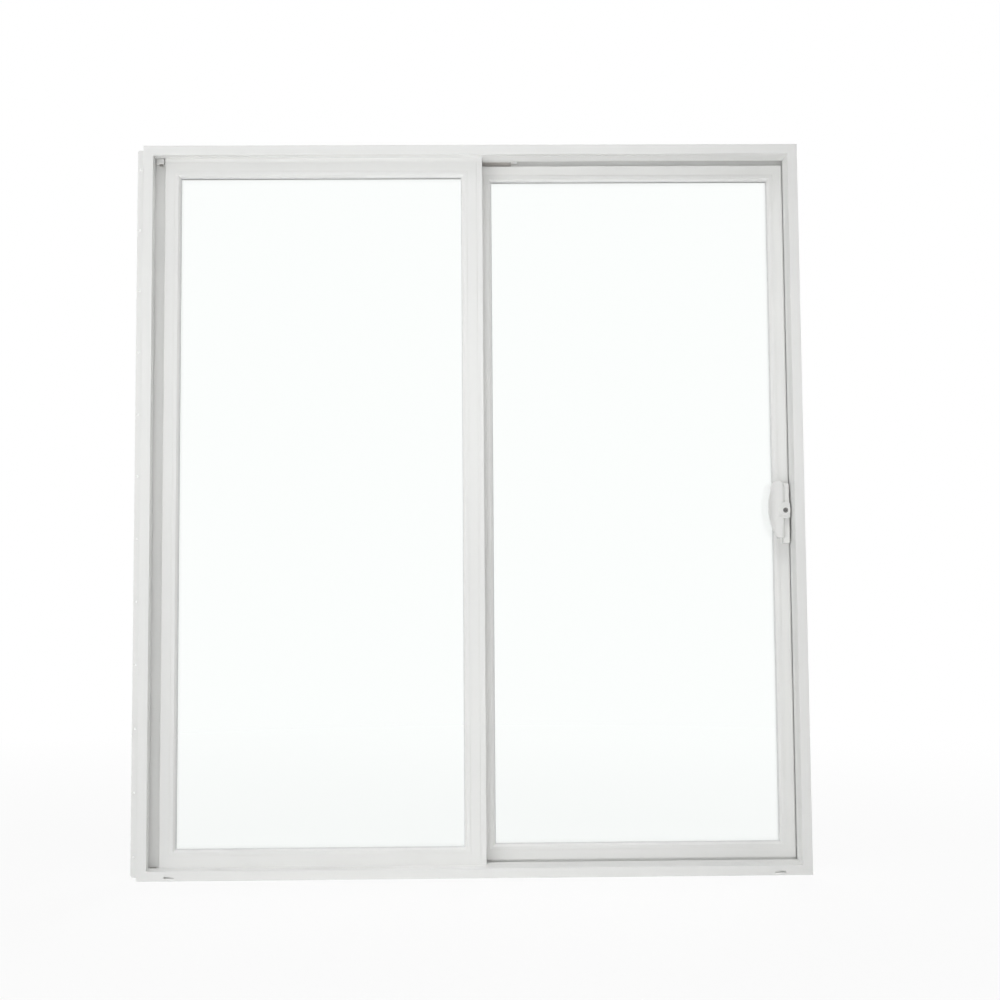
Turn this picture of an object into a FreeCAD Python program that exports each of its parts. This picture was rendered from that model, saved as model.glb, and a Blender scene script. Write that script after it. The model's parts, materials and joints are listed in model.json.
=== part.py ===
import FreeCAD, Part
import math
import os
from FreeCAD import Vector

# A white vinyl sliding patio door: a fixed panel in the outdoor pocket, a sliding panel behind it.
# X runs right as seen from outdoors, Y runs into the building and Z up. The origin is on the
# underside of the sill, halfway along it and halfway through the wall.

# Frame
frameWidth = 1816.0
frameHeight = 2007.0
frameDepth = 116.0
legHeight = 27.0
pocketFloor = 10.0
indoorLegDepth = 5.0
ribThickness = 4.0
ribHeight = 20.0
edgeRound = 1.2

# Groove for an insect screen in the outdoor leg
screenGrooveWidth = 5.0
screenGrooveDepth = 5.0

# Sill
sillFrontHeight = 26.0
sillLegHeight = 30.0
sillFixedFloor = 16.0
sillRibTop = 24.0
sillDamHeight = 34.0
weepWidth = 28.0
weepHeight = 5.0
weepDepth = 9.0
weepBottom = 7.0
weepFromEnd = 88.0

# Covers that close the outdoor pocket beside and under the sliding panel
coverWall = 3.0
coverJoint = 0.3

# Nailing fin on the left jamb
finReach = 21.0
finThickness = 2.0
finSetback = 25.0
finTongue = 5.0
finTongueThickness = 1.4
finJoint = 0.1
finCorner = 7.0
finHoleCount = 12
finHolePitch = 171.5
finHoleRadius = 2.6
finHoleFromEdge = 8.0
finEndGap = 6.0

# Panels
panelThickness = 32.0
panelGap = 12.0
runningGap = 5.0
sashFace = 42.0
fixedGlassInset = 96.0
lockReveal = 1.0
meetingOverlap = 34.0
glassBottom = 76.0
glassTopDrop = 80.0
legSetback = 10.0
legThickness = 16.0
legReach = 18.0
fixedLegGap = 7.0
lockLegGap = 7.0

# Glazing
beadWidth = 15.0
beadNose = 5.0
glassSetback = 9.0
glassBite = 12.0
paneThickness = 3.0
airSpace = 12.0
glassEdgeGap = 2.0
spacerWidth = 7.0
gasketWidth = 3.0
gasketThickness = 2.0

# Interlocks on the meeting stiles
interlockWidth = 15.0
hookWall = 1.5
hookGap = 3.0
hookEndGap = 6.0

# Rollers and their track
trackWidth = 8.0
trackWall = 1.5
trackTop = 20.0
trackShoulder = 16.0
wheelRadius = 11.0
wheelWidth = 6.0
wheelSpacing = 46.0
wheelTouch = 0.3
wheelGrooveFlat = 1.0
wheelGrooveDepth = 1.2
axleRadius = 2.5
axleFit = 0.05
rollerWall = 2.0
rollerLength = 96.0
rollerHeight = 32.0
rollerFromCorner = 90.0
railLegWall = 3.0

# Handle set: plate and column behind the pull, measured from the key
keyHeight = 986.0
keyFromLockEdge = 17.0
plateThickness = 5.0
plateLeft = 30.0
plateTop = 79.0
plateBottom = 66.0
plateCorner = 13.0
columnLeft = 5.0
columnTop = 77.0
columnBottom = 91.0
columnProud = 27.0
columnTopRound = 8.0
columnFootRound = 3.0
columnChamfer = 2.0

# Pull: a wall whose front falls to a crease and flares out again to a lip
pullWall = 18.0
pullWallRound = 6.0
shoulderX = 6.0
shoulderProud = 36.0
shoulderRound = 8.0
creaseX = 33.0
creaseProud = 29.5
creaseRound = 30.0
lipProud = 37.0
lipThickness = 5.0
lipOverrun = 5.0
gripRound = 24.0
gripProud = 20.0
pullChamfer = 1.5

# Bow of the pull seen from outdoors
bowReach = 47.0
bowMiddle = 14.0
bowTopX = 39.0
bowTopHeight = 55.0
bowFootX = 28.0
bowFootDepth = 68.0
archX = 17.0
archTop = 82.0
archRight = 69.0
footX = 14.0
footBottom = 77.0
footRight = 72.0

# Indoor plate and its upright grip
indoorPlateLeft = 13.0
indoorGripHeight = 150.0
indoorGripProud = 43.0
indoorGripWidth = 15.0
indoorGripBar = 13.0
indoorGripRound = 22.0
indoorGripChamfer = 2.5

# Lock in the outdoor column and lever on the indoor plate
bossRadius = 23.0
bossProud = 35.5
ringRadius = 15.0
ringHeight = 2.0
plugRadius = 5.5
plugFit = 0.08
plugRecess = 2.0
plugLength = 16.0
keywayWidth = 2.2
keywayHeight = 7.0
keywayDepth = 10.0
leverHubRadius = 9.0
leverHubHeight = 5.0
leverLength = 40.0
leverRoot = 7.0
leverTip = 4.5
leverThickness = 6.0

# Latch plates on the lock stile's leg and in the right jamb
faceplateHeight = 170.0
faceplateWidth = 12.0
faceplateThickness = 2.0
faceplateJoint = 0.1
strikeHeight = 130.0
strikeWidth = 16.0
strikeThickness = 1.5
strikeCorner = 3.0
hookSlotHeight = 44.0
hookSlotWidth = 6.0

indoorLegFront = frameDepth - indoorLegDepth
fixedFront = indoorLegFront - runningGap - 2 * panelThickness - panelGap
screenGrooveSetback = fixedFront / 3
fixedBack = fixedFront + panelThickness
ribBack = fixedBack + ribThickness
slidingFront = fixedBack + panelGap
slidingBack = slidingFront + panelThickness
jambInner = frameWidth / 2 - legHeight
tongueFront = finSetback + (finThickness - finTongueThickness) / 2
glassTop = frameHeight - glassTopDrop
fixedGlassLeft = -frameWidth / 2 + fixedGlassInset
lockEdge = jambInner - lockReveal
glassWidth = (lockEdge - fixedGlassLeft - 3 * sashFace - 2 * interlockWidth + meetingOverlap) / 2
fixedGlassRight = fixedGlassLeft + glassWidth
fixedInterlockRight = fixedGlassRight + sashFace + interlockWidth
slidingInterlockLeft = fixedInterlockRight - meetingOverlap
slidingGlassLeft = slidingInterlockLeft + interlockWidth + sashFace
slidingGlassRight = slidingGlassLeft + glassWidth
sillFloor = pocketFloor
trackDepth = slidingFront + panelThickness / 2
rollerChannelFront = (panelThickness - trackWidth) / 2 - runningGap
rollerChannelTop = glassBottom - beadWidth - railLegWall
keyX = lockEdge - keyFromLockEdge
columnRight = jambInner - runningGap
lockLegRight = frameWidth / 2 - pocketFloor - lockLegGap
lockLegMiddle = slidingFront + legSetback + legThickness / 2
unitThickness = 2 * paneThickness + airSpace
roundStep = 1e-6
cutMargin = 1.0


def yAt(depth):
    """Y of a plane this far behind the outdoor face of the frame."""
    return depth - frameDepth / 2


def corner(before, here, after, radius):
    """Points where a rounded corner starts, is halfway and ends."""
    toBefore = (before - here).normalize()
    toAfter = (after - here).normalize()
    halfAngle = toBefore.getAngle(toAfter) / 2
    setback = radius / math.tan(halfAngle)
    toCentre = (toBefore + toAfter).normalize()
    centre = here + toCentre * (radius / math.sin(halfAngle))
    return here + toBefore * setback, centre - toCentre * radius, here + toAfter * setback


def outline(points, place):
    """Closed face through (a, b) points, each with a corner radius if it has a third value."""
    spots = [place(point[0], point[1]) for point in points]
    radii = [point[2] if len(point) > 2 else 0 for point in points]
    count = len(points)
    bends = []
    for index in range(count):
        if radii[index] > 0:
            bends.append(corner(spots[index - 1], spots[index], spots[(index + 1) % count], radii[index]))
        else:
            bends.append((spots[index], None, spots[index]))
    edges = []
    for index in range(count):
        start, middle, end = bends[index]
        if middle is not None:
            edges.append(Part.Arc(start, middle, end).toShape())
        following = bends[(index + 1) % count][0]
        if (following - end).Length > roundStep:
            edges.append(Part.LineSegment(end, following).toShape())
    return Part.Face(Part.Wire(edges))


def alongX(points, start, end):
    """Bar along X with a section given as (depth, z)."""
    section = outline(points, lambda depth, z: Vector(start, yAt(depth), z))
    return section.extrude(Vector(end - start, 0, 0))


def alongY(points, front, back):
    """Plate through the wall with an outline given as (x, z)."""
    section = outline(points, lambda x, z: Vector(x, yAt(front), z))
    return section.extrude(Vector(0, back - front, 0))


def alongZ(points, bottom, top):
    """Bar up Z with a section given as (x, depth)."""
    section = outline(points, lambda x, depth: Vector(x, yAt(depth), bottom))
    return section.extrude(Vector(0, 0, top - bottom))


def block(left, right, front, back, bottom, top):
    """Plain block between two corners."""
    corners = [(left, front), (right, front), (right, back), (left, back)]
    return alongZ(corners, bottom, top)


def rod(x, z, radius, front, back):
    """Round bar through the wall."""
    return Part.makeCylinder(radius, back - front, Vector(x, yAt(front), z), Vector(0, 1, 0))


def save(name, *solids):
    """Writes one sub-part, as one solid or as several that do not touch."""
    found = [solid for shape in solids for solid in shape.removeSplitter().Solids]
    shape = found[0] if len(found) == 1 else Part.makeCompound(found)
    shape.exportStep("parts/" + name + ".step")


# Frame members

def frameSection():
    """Head and jamb section as (height above the outer edge, depth)."""
    screenFloor = legHeight - screenGrooveDepth
    screenBack = screenGrooveSetback + screenGrooveWidth
    finFront = tongueFront - finJoint
    finBack = tongueFront + finTongueThickness + finJoint
    return [
        (0, 0, edgeRound),
        (legHeight, 0, edgeRound),
        (legHeight, screenGrooveSetback),
        (screenFloor, screenGrooveSetback),
        (screenFloor, screenBack),
        (legHeight, screenBack),
        (legHeight, fixedFront, edgeRound),
        (pocketFloor, fixedFront),
        (pocketFloor, fixedBack),
        (ribHeight, fixedBack, edgeRound),
        (ribHeight, ribBack, edgeRound),
        (pocketFloor, ribBack),
        (pocketFloor, indoorLegFront),
        (legHeight, indoorLegFront, edgeRound),
        (legHeight, frameDepth, edgeRound),
        (0, frameDepth),
        (0, finBack),
        (finTongue, finBack),
        (finTongue, finFront),
        (0, finFront),
    ]


def mitreHead():
    """Part of the frame's outline that belongs to the head."""
    side = frameWidth / 2
    return [
        (-side, frameHeight),
        (side, frameHeight),
        (side - legHeight, frameHeight - legHeight),
        (-side + legHeight, frameHeight - legHeight),
    ]


def mitreJamb(hand):
    """Part of the frame's outline that belongs to a jamb."""
    side = hand * frameWidth / 2
    inner = hand * jambInner
    return [
        (side, 0),
        (side, frameHeight),
        (inner, frameHeight - legHeight),
        (inner, legHeight),
    ]


def mitreSill():
    """Part of the frame's outline that belongs to the sill."""
    side = frameWidth / 2
    above = sillDamHeight + legHeight
    return [
        (-side, 0),
        (side, 0),
        (jambInner, legHeight),
        (jambInner, above),
        (-jambInner, above),
        (-jambInner, legHeight),
    ]


def clipped(bar, shape):
    """Bar cut to an outline seen from outdoors."""
    return bar.common(alongY(shape, -panelGap, frameDepth + panelGap))


def head():
    bar = alongX([(point[1], frameHeight - point[0], *point[2:]) for point in frameSection()],
                 -frameWidth / 2, frameWidth / 2)
    return clipped(bar, mitreHead())


def jamb(hand):
    bar = alongZ([(hand * (frameWidth / 2 - point[0]), *point[1:]) for point in frameSection()],
                 0, frameHeight)
    return clipped(bar, mitreJamb(hand))


def sill():
    """Sloped outdoor leg, pocket for the fixed panel, rib, track ridge and indoor dam."""
    ridgeHalf = trackWidth / 2 - trackWall
    bar = alongX([
        (0, 0, edgeRound),
        (0, sillFrontHeight, edgeRound),
        (fixedFront, sillLegHeight, edgeRound),
        (fixedFront, sillFixedFloor),
        (fixedBack, sillFixedFloor),
        (fixedBack, sillRibTop, edgeRound),
        (ribBack, sillRibTop, edgeRound),
        (ribBack, sillFloor),
        (trackDepth - ridgeHalf, sillFloor),
        (trackDepth - ridgeHalf, trackShoulder),
        (trackDepth + ridgeHalf, trackShoulder),
        (trackDepth + ridgeHalf, sillFloor),
        (indoorLegFront, sillFloor),
        (indoorLegFront, sillDamHeight, edgeRound),
        (frameDepth, sillDamHeight, edgeRound),
        (frameDepth, 0),
    ], -frameWidth / 2, frameWidth / 2)
    body = clipped(bar, mitreSill())
    for hand in (-1, 1):
        weepX = hand * (frameWidth / 2 - weepFromEnd)
        body = body.cut(block(weepX - weepWidth / 2, weepX + weepWidth / 2, -weepDepth, weepDepth,
                              weepBottom, weepBottom + weepHeight))
    return body


def nailingFin():
    """Punched strip with a thinner tongue that snaps into the left jamb's groove."""
    root = -frameWidth / 2
    outer = root - finReach
    flange = alongY([
        (outer, finEndGap, finCorner),
        (outer, frameHeight - finEndGap, finCorner),
        (root, frameHeight - finEndGap),
        (root, finEndGap),
    ], finSetback, finSetback + finThickness)
    tongue = block(root, root + finTongue, tongueFront, tongueFront + finTongueThickness,
                   legHeight, frameHeight - legHeight)
    strip = flange.fuse(tongue)
    firstHole = frameHeight / 2 - finHolePitch * (finHoleCount - 1) / 2
    for index in range(finHoleCount):
        strip = strip.cut(rod(outer + finHoleFromEdge, firstHole + index * finHolePitch, finHoleRadius,
                              finSetback - finThickness, finSetback + 2 * finThickness))
    return strip


def coverSection():
    """Cover for a head or jamb pocket as (height above the outer edge, depth)."""
    return [
        (legHeight, fixedFront),
        (legHeight, ribBack, edgeRound),
        (ribHeight, ribBack),
        (ribHeight, fixedBack),
        (pocketFloor, fixedBack),
        (pocketFloor, fixedBack - coverWall),
        (legHeight - coverWall, fixedBack - coverWall),
        (legHeight - coverWall, fixedFront + coverWall),
        (pocketFloor, fixedFront + coverWall),
        (pocketFloor, fixedFront),
    ]


def jambCover():
    """Snap-in channel that makes the right jamb's outdoor pocket flush."""
    section = [(frameWidth / 2 - height, depth, *bend) for height, depth, *bend in coverSection()]
    return alongZ(section, sillLegHeight, frameHeight - legHeight)


def sillCover():
    """Snap-in channel that makes the sill's outdoor pocket flush under the sliding panel."""
    section = [
        (fixedFront, sillLegHeight),
        (ribBack, sillLegHeight, edgeRound),
        (ribBack, sillRibTop),
        (fixedBack, sillRibTop),
        (fixedBack, sillFixedFloor),
        (fixedBack - coverWall, sillFixedFloor),
        (fixedBack - coverWall, sillLegHeight - coverWall),
        (fixedFront + coverWall, sillLegHeight - coverWall),
        (fixedFront + coverWall, sillFixedFloor),
        (fixedFront, sillFixedFloor),
    ]
    return alongX(section, fixedInterlockRight + coverJoint, jambInner)


def headCover():
    """Snap-in channel that makes the head's outdoor pocket flush over the sliding panel."""
    section = [(depth, frameHeight - height, *bend) for height, depth, *bend in coverSection()]
    return alongX(section, fixedInterlockRight + coverJoint, jambInner)


def filler(bottom, top):
    """Strip that closes the pocket in front of the fixed panel's leg."""
    return block(fixedGlassLeft - sashFace, fixedInterlockRight - interlockWidth, fixedFront,
                 fixedFront + legSetback, bottom, top)


def rollerTrack():
    """Metal cap with a round crown on the sill's track ridge."""
    half = trackWidth / 2
    wall = trackWall
    start = Vector(-jambInner, yAt(trackDepth - half), trackShoulder)
    crown = Vector(-jambInner, yAt(trackDepth), trackTop)
    end = Vector(-jambInner, yAt(trackDepth + half), trackShoulder)
    path = [
        Vector(-jambInner, yAt(trackDepth + half), sillFloor),
        Vector(-jambInner, yAt(trackDepth + half - wall), sillFloor),
        Vector(-jambInner, yAt(trackDepth + half - wall), trackShoulder),
        Vector(-jambInner, yAt(trackDepth - half + wall), trackShoulder),
        Vector(-jambInner, yAt(trackDepth - half + wall), sillFloor),
        Vector(-jambInner, yAt(trackDepth - half), sillFloor),
    ]
    edges = [Part.Arc(start, crown, end).toShape(), Part.LineSegment(end, path[0]).toShape()]
    edges += [Part.LineSegment(a, b).toShape() for a, b in zip(path, path[1:])]
    edges.append(Part.LineSegment(path[-1], start).toShape())
    return Part.Face(Part.Wire(edges)).extrude(Vector(2 * jambInner, 0, 0))


# Panels. A sash section is given as (distance out from the glass line, depth behind the panel's face).

def sashSection(reach):
    """Sash profile with a glazing pocket and, where reach is not zero, a set-back outer leg."""
    glassBack = glassSetback + unitThickness
    points = [
        (beadWidth, 0),
        (sashFace, 0, edgeRound),
    ]
    if reach > 0:
        points += [
            (sashFace, legSetback),
            (sashFace + reach, legSetback, edgeRound),
            (sashFace + reach, legSetback + legThickness, edgeRound),
            (sashFace, legSetback + legThickness),
        ]
    points += [
        (sashFace, panelThickness, edgeRound),
        (0, panelThickness, edgeRound),
        (0, glassBack),
        (glassBite, glassBack),
        (glassBite, glassSetback),
        (beadWidth, glassSetback),
    ]
    return points


def rollerRailSection():
    """Bottom rail of the sliding panel, open underneath for the rollers and the track."""
    glassBack = glassSetback + unitThickness
    channelFront = rollerChannelFront
    channelBack = panelThickness - channelFront
    channelTop = beadWidth + railLegWall
    legEnd = sashFace + legReach
    return [
        (beadWidth, 0),
        (sashFace, 0, edgeRound),
        (sashFace, channelFront - railLegWall),
        (legEnd, channelFront - railLegWall),
        (legEnd, channelFront),
        (channelTop, channelFront),
        (channelTop, channelBack),
        (legEnd, channelBack),
        (legEnd, channelBack + railLegWall),
        (sashFace, channelBack + railLegWall),
        (sashFace, panelThickness, edgeRound),
        (0, panelThickness, edgeRound),
        (0, glassBack),
        (glassBite, glassBack),
        (glassBite, glassSetback),
        (beadWidth, glassSetback),
    ]


def beadSection():
    """Glazing bead with a sloped nose, as (distance out from the glass line, depth)."""
    return [
        (beadWidth, 0, edgeRound),
        (beadNose, 0, edgeRound),
        (0, beadNose, edgeRound),
        (0, glassSetback),
        (beadWidth, glassSetback),
    ]


def gasketSection():
    """Dark glazing strip between the bead and the pane."""
    return [
        (0, glassSetback - gasketThickness),
        (0, glassSetback),
        (-gasketWidth, glassSetback),
    ]


def ring(sections, glassLeft, front, outerLeft, outerRight, outerBottom, outerTop):
    """Four mitred members round a glass opening: bottom, top, left and right."""
    glassRight = glassLeft + glassWidth
    spread = max(point[0] for section in sections for point in section)
    start = min(0, min(point[0] for section in sections for point in section))
    low, high = glassBottom, glassTop
    back = front + panelThickness
    bottomBar = alongX([(front + p[1], low - p[0], *p[2:]) for p in sections[0]], outerLeft, outerRight)
    topBar = alongX([(front + p[1], high + p[0], *p[2:]) for p in sections[1]], outerLeft, outerRight)
    leftBar = alongZ([(glassLeft - p[0], front + p[1], *p[2:]) for p in sections[2]], outerBottom, outerTop)
    rightBar = alongZ([(glassRight + p[0], front + p[1], *p[2:]) for p in sections[3]],
                      outerBottom, outerTop)
    near = [(glassLeft - start, low - start), (glassRight + start, low - start),
            (glassRight + start, high + start), (glassLeft - start, high + start)]
    far = [(glassLeft - spread, low - spread), (glassRight + spread, low - spread),
           (glassRight + spread, high + spread), (glassLeft - spread, high + spread)]
    cuts = [
        [near[0], near[1], far[1], far[0]],
        [near[3], near[2], far[2], far[3]],
        [near[0], near[3], far[3], far[0]],
        [near[1], near[2], far[2], far[1]],
    ]
    bars = [bottomBar, topBar, leftBar, rightBar]
    return [bar.common(alongY(cut, front - cutMargin, back + cutMargin)) for bar, cut in zip(bars, cuts)]


def pane(glassLeft, front):
    reach = glassBite - glassEdgeGap
    return block(glassLeft - reach, glassLeft + glassWidth + reach, front, front + paneThickness,
                 glassBottom - reach, glassTop + reach)


def spacer(glassLeft, front):
    """Spacer bar round the edge of the sealed glass unit."""
    reach = glassBite - glassEdgeGap
    outer = block(glassLeft - reach, glassLeft + glassWidth + reach, front, front + airSpace,
                  glassBottom - reach, glassTop + reach)
    inset = reach - spacerWidth
    inner = block(glassLeft - inset, glassLeft + glassWidth + inset, front - cutMargin,
                  front + airSpace + cutMargin, glassBottom - inset, glassTop + inset)
    return outer.cut(inner)


def glazing(name, glassLeft, front):
    """Beads, gasket and sealed double glass unit of one panel."""
    edges = (glassLeft - sashFace, glassLeft + glassWidth + sashFace,
             glassBottom - sashFace, glassTop + sashFace)
    beads = ring([beadSection()] * 4, glassLeft, front, *edges)
    for side, bead in zip(("bottom", "top", "left", "right"), beads):
        save(name + "_" + side + "_bead", bead)
    strips = ring([gasketSection()] * 4, glassLeft, front, *edges)
    gasket = strips[0].fuse(strips[1:])
    save(name + "_gasket", gasket)
    glassFront = front + glassSetback
    save(name + "_outdoor_pane", pane(glassLeft, glassFront))
    save(name + "_spacer", spacer(glassLeft, glassFront + paneThickness))
    save(name + "_indoor_pane", pane(glassLeft, glassFront + paneThickness + airSpace))


def fixedPanel():
    legLeft = -frameWidth / 2 + pocketFloor + fixedLegGap
    jambReach = fixedGlassLeft - sashFace - legLeft
    outerRight = fixedGlassRight + sashFace
    low = glassBottom - sashFace - legReach
    high = glassTop + sashFace + legReach
    sections = [sashSection(legReach), sashSection(legReach), sashSection(jambReach), sashSection(0)]
    bottomRail, topRail, jambStile, meetingStile = ring(sections, fixedGlassLeft, fixedFront,
                                                        legLeft, outerRight, low, high)
    save("fixed_bottom_rail", bottomRail)
    save("fixed_top_rail", topRail)
    save("fixed_jamb_stile", jambStile)
    save("fixed_meeting_stile", meetingStile)
    glazing("fixed", fixedGlassLeft, fixedFront)
    save("fixed_interlock", fixedInterlock())


def fixedInterlock():
    """Extrusion on the fixed meeting stile, with a hook that points back at the jamb."""
    inner = fixedInterlockRight - interlockWidth
    body = block(inner, fixedInterlockRight, fixedFront, fixedBack, sillFixedFloor,
                 frameHeight - pocketFloor)
    tipBack = fixedBack + 2 * hookGap + 2 * hookWall
    tipLeft = fixedInterlockRight - meetingOverlap / 2
    hook = alongZ([
        (fixedInterlockRight, fixedBack),
        (fixedInterlockRight, tipBack),
        (tipLeft, tipBack),
        (tipLeft, tipBack - hookWall),
        (fixedInterlockRight - hookWall, tipBack - hookWall),
        (fixedInterlockRight - hookWall, fixedBack),
    ], sillLegHeight + hookEndGap, frameHeight - legHeight - hookEndGap)
    return body.fuse(hook)


def slidingInterlock(low, high):
    """Extrusion on the sliding meeting stile, with a hook that catches the fixed one."""
    left = slidingInterlockLeft
    body = block(left, left + interlockWidth, slidingFront, slidingBack, low, high)
    tipFront = fixedBack + hookGap
    tipRight = left + meetingOverlap / 2 + hookGap * 2
    hook = alongZ([
        (left, slidingFront),
        (left, tipFront),
        (tipRight, tipFront),
        (tipRight, tipFront + hookWall),
        (left + hookWall, tipFront + hookWall),
        (left + hookWall, slidingFront),
    ], sillLegHeight + hookEndGap, frameHeight - legHeight - hookEndGap)
    return body.fuse(hook)


def slidingPanel():
    lockReach = lockLegRight - lockEdge
    outerLeft = slidingGlassLeft - sashFace
    low = glassBottom - sashFace - legReach
    high = glassTop + sashFace + legReach
    sections = [rollerRailSection(), sashSection(legReach), sashSection(0), sashSection(lockReach)]
    bottomRail, topRail, meetingStile, lockStile = ring(sections, slidingGlassLeft, slidingFront,
                                                        outerLeft, lockLegRight, low, high)
    save("sliding_bottom_rail", bottomRail)
    save("sliding_top_rail", topRail)
    save("sliding_meeting_stile", meetingStile)
    notch = block(slidingGlassRight, lockLegRight + cutMargin, slidingFront + rollerChannelFront,
                  slidingBack - rollerChannelFront, 0, rollerChannelTop)
    recess = latchPlate(faceplateHeight / 2 + faceplateJoint, faceplateWidth / 2 + faceplateJoint,
                        faceplateWidth / 2, lockLegRight - faceplateThickness, lockLegRight + cutMargin)
    save("sliding_lock_stile", lockStile.cut([notch, recess]))
    glazing("sliding", slidingGlassLeft, slidingFront)
    save("sliding_interlock", slidingInterlock(low + legReach, high - legReach))


def rollerCentres():
    """X of the middle of each roller housing."""
    return (slidingGlassLeft + rollerFromCorner, slidingGlassRight - rollerFromCorner)


def rollers():
    """Housings in the bottom rail, each with two grooved wheels on fixed axles."""
    axleZ = trackTop + wheelTouch + wheelRadius
    halfWidth = trackWidth / 2 + runningGap
    innerHalf = halfWidth - rollerWall
    housings = []
    wheels = []
    for centre in rollerCentres():
        shell = block(centre - rollerLength / 2, centre + rollerLength / 2, trackDepth - halfWidth,
                      trackDepth + halfWidth, rollerChannelTop - rollerHeight, rollerChannelTop)
        hollow = block(centre - rollerLength / 2 + rollerWall, centre + rollerLength / 2 - rollerWall,
                       trackDepth - innerHalf, trackDepth + innerHalf, 0, rollerChannelTop - rollerWall)
        shell = shell.cut(hollow)
        for side in (-1, 1):
            x = centre + side * wheelSpacing / 2
            shell = shell.fuse(rod(x, axleZ, axleRadius, trackDepth - innerHalf, trackDepth + innerHalf))
            wheels.append(wheel(x, axleZ))
        housings.append(shell)
    save("roller_housings", *housings)
    save("roller_wheels", *wheels)


def wheel(x, z):
    """Wheel with a vee groove for the track's crown."""
    half = wheelWidth / 2
    bore = axleRadius + axleFit
    profile = [
        (-half, bore),
        (-half, wheelRadius + wheelGrooveDepth),
        (-wheelGrooveFlat, wheelRadius),
        (wheelGrooveFlat, wheelRadius),
        (half, wheelRadius + wheelGrooveDepth),
        (half, bore),
    ]
    section = outline(profile, lambda across, out: Vector(x, yAt(trackDepth + across), z + out))
    return section.revolve(Vector(x, 0, z), Vector(0, 1, 0), 360)


# Latch plates

def latchPlate(halfHeight, halfWidth, cornerRadius, left, right):
    """Upright plate with round corners on the latch's centre line, between two places along X."""
    return alongX([
        (lockLegMiddle - halfWidth, keyHeight - halfHeight, cornerRadius),
        (lockLegMiddle + halfWidth, keyHeight - halfHeight, cornerRadius),
        (lockLegMiddle + halfWidth, keyHeight + halfHeight, cornerRadius),
        (lockLegMiddle - halfWidth, keyHeight + halfHeight, cornerRadius),
    ], left, right)


def hookSlot(left, right):
    """Opening for the latch's hook."""
    return block(left - cutMargin, right + cutMargin, lockLegMiddle - hookSlotWidth / 2,
                 lockLegMiddle + hookSlotWidth / 2, keyHeight - hookSlotHeight / 2,
                 keyHeight + hookSlotHeight / 2)


def faceplate():
    left = lockLegRight - faceplateThickness
    plate = latchPlate(faceplateHeight / 2, faceplateWidth / 2, faceplateWidth / 2 - faceplateJoint,
                       left, lockLegRight)
    return plate.cut(hookSlot(left, lockLegRight))


def strikePlate():
    right = frameWidth / 2 - pocketFloor
    left = right - strikeThickness
    plate = latchPlate(strikeHeight / 2, strikeWidth / 2, strikeCorner, left, right)
    return plate.cut(hookSlot(left, right))


# Handle set

def handlePlate():
    """Thin plate under the pull and the raised column beside it."""
    plate = alongY([
        (keyX - plateLeft, keyHeight - plateBottom, plateCorner),
        (keyX, keyHeight - plateBottom),
        (keyX, keyHeight + plateTop),
        (keyX - plateLeft, keyHeight + plateTop, plateCorner),
    ], slidingFront - plateThickness, slidingFront)
    columnFront = slidingFront - columnProud
    column = alongY([
        (keyX - columnLeft, keyHeight - columnBottom, columnFootRound),
        (columnRight, keyHeight - columnBottom, columnFootRound),
        (columnRight, keyHeight + columnTop, columnTopRound),
        (keyX - columnLeft, keyHeight + columnTop, columnTopRound),
    ], columnFront, slidingFront)
    rim = [edge for edge in column.Edges if edge.BoundBox.YMax < yAt(columnFront) + roundStep]
    return plate.fuse(column.makeChamfer(columnChamfer, rim))


def pullSection():
    """Section through the pull as a face in X and Y, below the handle."""
    bottom = keyHeight - 2 * columnBottom
    tip = -bowReach - lipOverrun
    return outline([
        (0, 0),
        (0, columnProud),
        (-shoulderX, shoulderProud, shoulderRound),
        (-creaseX, creaseProud, creaseRound),
        (tip, lipProud),
        (tip, lipProud - lipThickness),
        (-creaseX, creaseProud - lipThickness, gripRound),
        (-pullWall, gripProud, pullWallRound),
        (-pullWall, 0),
    ], lambda x, proud: Vector(keyX + x, yAt(slidingFront - proud), bottom))


def pullOutline():
    """Pull seen from outdoors: a bow on the left, an arched top and a round foot."""
    def at(x, z):
        return Vector(keyX + x, yAt(0), keyHeight + z)
    topRight = at(0, archRight)
    topLeft = at(-bowTopX, bowTopHeight)
    footLeft = at(-bowFootX, -bowFootDepth)
    footEnd = at(0, -footRight)
    edges = [
        Part.Arc(topRight, at(-archX, archTop), topLeft).toShape(),
        Part.Arc(topLeft, at(-bowReach, bowMiddle), footLeft).toShape(),
        Part.Arc(footLeft, at(-footX, -footBottom), footEnd).toShape(),
        Part.LineSegment(footEnd, topRight).toShape(),
    ]
    return Part.Face(Part.Wire(edges)).extrude(Vector(0, slidingFront, 0))


def isRim(pull, edge):
    """Whether an edge lies between the pull's front and the walls of its outline."""
    middle = edge.valueAt((edge.FirstParameter + edge.LastParameter) / 2)
    out = keyX - middle.x
    proud = yAt(slidingFront) - middle.y
    frontFrom = creaseProud - lipThickness / 2
    if out > creaseX:
        frontFrom += (lipProud - creaseProud) * (out - creaseX) / (bowReach + lipOverrun - creaseX)
    walls = [face for face in pull.ancestorsOfType(edge, Part.Face)
             if isinstance(face.Surface, Part.Cylinder) and abs(face.Surface.Axis.y) > 1 - roundStep]
    return len(walls) == 1 and proud > frontFrom and out > cutMargin


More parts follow.
